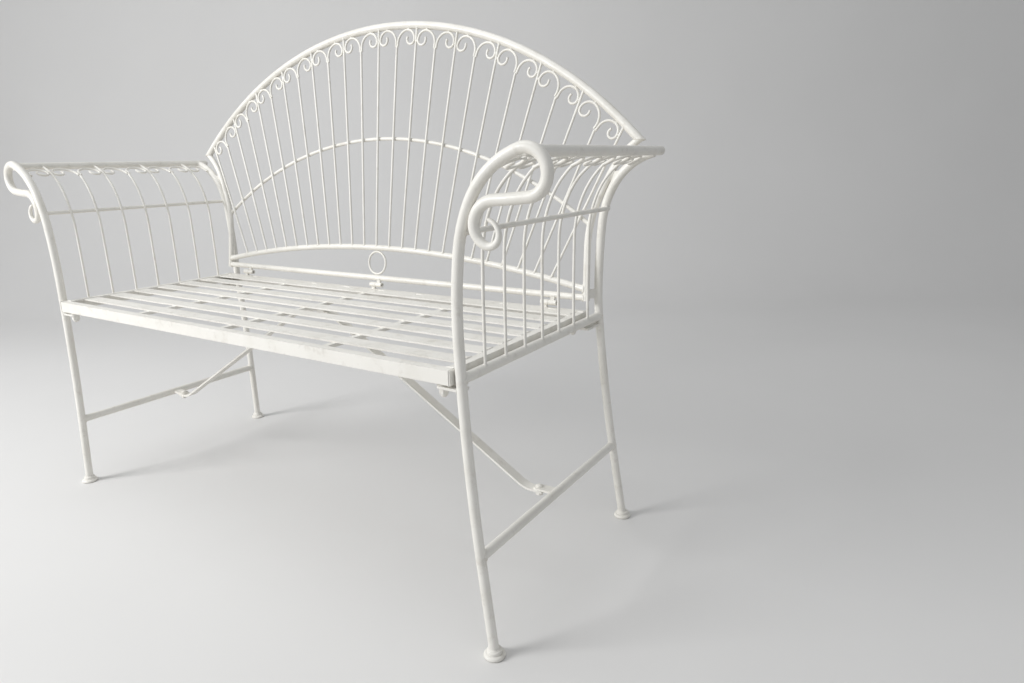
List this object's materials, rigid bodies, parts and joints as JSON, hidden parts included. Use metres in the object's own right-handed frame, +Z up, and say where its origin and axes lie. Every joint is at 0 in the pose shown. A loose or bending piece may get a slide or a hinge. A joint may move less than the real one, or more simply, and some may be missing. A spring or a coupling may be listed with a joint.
{
  "type": "garden bench",
  "caption": "Cream-painted wrought-metal garden bench with an arched fan back, scrolled arms, slatted seat and diagonal braces to the leg stretchers.",
  "frame": {"origin": "on the floor, under the middle of the space that the four feet and the arms take", "axes": "+X to the right as one faces the bench from the front, +Y from the front to the back, +Z up"},
  "size_m": [1.394, 0.52, 1.0223],
  "materials": {
    "cream_paint": "satin",
    "fasteners": "satin"
  },
  "bodies": {
    "root": {"back_bottom_rail": "cream_paint", "back_fork_stems": "cream_paint", "back_hinge_knuckles": "cream_paint", "back_lower_arch": "cream_paint", "back_mid_arch": "cream_paint", "back_ring": "cream_paint", "back_scrolls": "cream_paint", "back_spindles": "cream_paint", "brace_bolts": "fasteners", "brace_nuts": "fasteners", "feet": "cream_paint", "hinge_pins": "fasteners", "left_arm_band": "cream_paint", "left_arm_fork_stems": "cream_paint", "left_arm_rail": "cream_paint", "left_arm_scrolls": "cream_paint", "left_arm_spindles": "cream_paint", "left_back_stile": "cream_paint", "left_brace_tab": "cream_paint", "left_diagonal_brace": "cream_paint", "left_front_leg": "cream_paint", "left_leg_stretcher": "cream_paint", "left_rear_post": "cream_paint", "left_seat_side_angle": "cream_paint", "left_seat_tabs": "cream_paint", "left_side_rail": "cream_paint", "right_arm_band": "cream_paint", "right_arm_fork_stems": "cream_paint", "right_arm_rail": "cream_paint", "right_arm_scrolls": "cream_paint", "right_arm_spindles": "cream_paint", "right_back_stile": "cream_paint", "right_brace_tab": "cream_paint", "right_diagonal_brace": "cream_paint", "right_front_leg": "cream_paint", "right_leg_stretcher": "cream_paint", "right_rear_post": "cream_paint", "right_seat_side_angle": "cream_paint", "right_seat_tabs": "cream_paint", "right_side_rail": "cream_paint", "seat_bearers": "cream_paint", "seat_bolts": "fasteners", "seat_cap_nuts": "fasteners", "seat_centre_plate": "cream_paint", "seat_corner_plates": "cream_paint", "seat_front_rail": "cream_paint", "seat_hinge_knuckles": "cream_paint", "seat_rear_rail": "cream_paint", "seat_slats": "cream_paint", "stile_tabs": "cream_paint", "top_arch": "cream_paint"}
  },
  "joints": []
}
